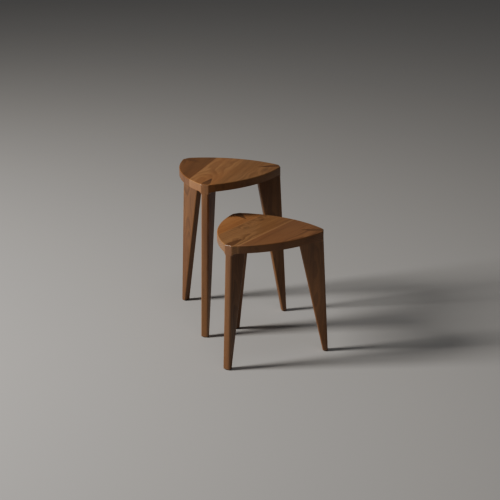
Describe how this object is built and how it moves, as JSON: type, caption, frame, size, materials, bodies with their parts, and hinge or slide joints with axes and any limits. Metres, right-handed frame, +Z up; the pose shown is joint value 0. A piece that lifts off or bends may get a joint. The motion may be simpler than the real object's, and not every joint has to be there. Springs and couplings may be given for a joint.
{
  "type": "nesting tables",
  "caption": "Nest of two three-legged wooden tables with bulging triangular tops on splayed blade legs; the low one slides under the tall one.",
  "frame": {"origin": "on the floor, in the middle of the pair's plan box as they stand", "axes": "+Z up; +Y along the pair's length, from the low table to the tall one, and the way the low table slides in; +X to the right when facing +Y"},
  "size_m": [0.4719, 0.6245, 0.5],
  "materials": {
    "board_gold": "oiled, satin",
    "board_brown": "oiled, satin",
    "board_red": "oiled, satin",
    "leg_wood": "oiled, satin",
    "tenon_beech": "bare, matte",
    "glide_nylon": "moulded, matte"
  },
  "bodies": {
    "tall_table": {"tall_board_back": "board_red", "tall_board_middle": "board_gold", "tall_board_right": "board_brown", "tall_leg_right": "leg_wood", "tall_leg_back": "leg_wood", "tall_leg_front": "leg_wood", "tall_tenon_back_1": "tenon_beech", "tall_tenon_back_2": "tenon_beech", "tall_tenon_right_1": "tenon_beech", "tall_tenon_right_2": "tenon_beech", "tall_glide_right": "glide_nylon", "tall_glide_back": "glide_nylon", "tall_glide_front": "glide_nylon"},
    "small_table": {"small_board_back": "board_brown", "small_board_middle": "board_gold", "small_board_right": "board_red", "small_leg_right": "leg_wood", "small_leg_back": "leg_wood", "small_leg_front": "leg_wood", "small_tenon_back_1": "tenon_beech", "small_tenon_back_2": "tenon_beech", "small_tenon_right_1": "tenon_beech", "small_tenon_right_2": "tenon_beech", "small_glide_right": "glide_nylon", "small_glide_back": "glide_nylon", "small_glide_front": "glide_nylon"}
  },
  "joints": [
    {"name": "nest_slide", "type": "slide", "parent": "tall_table", "child": "small_table", "axis": [0, 1, 0], "range_m": [-0.3, 0.145]}
  ]
}
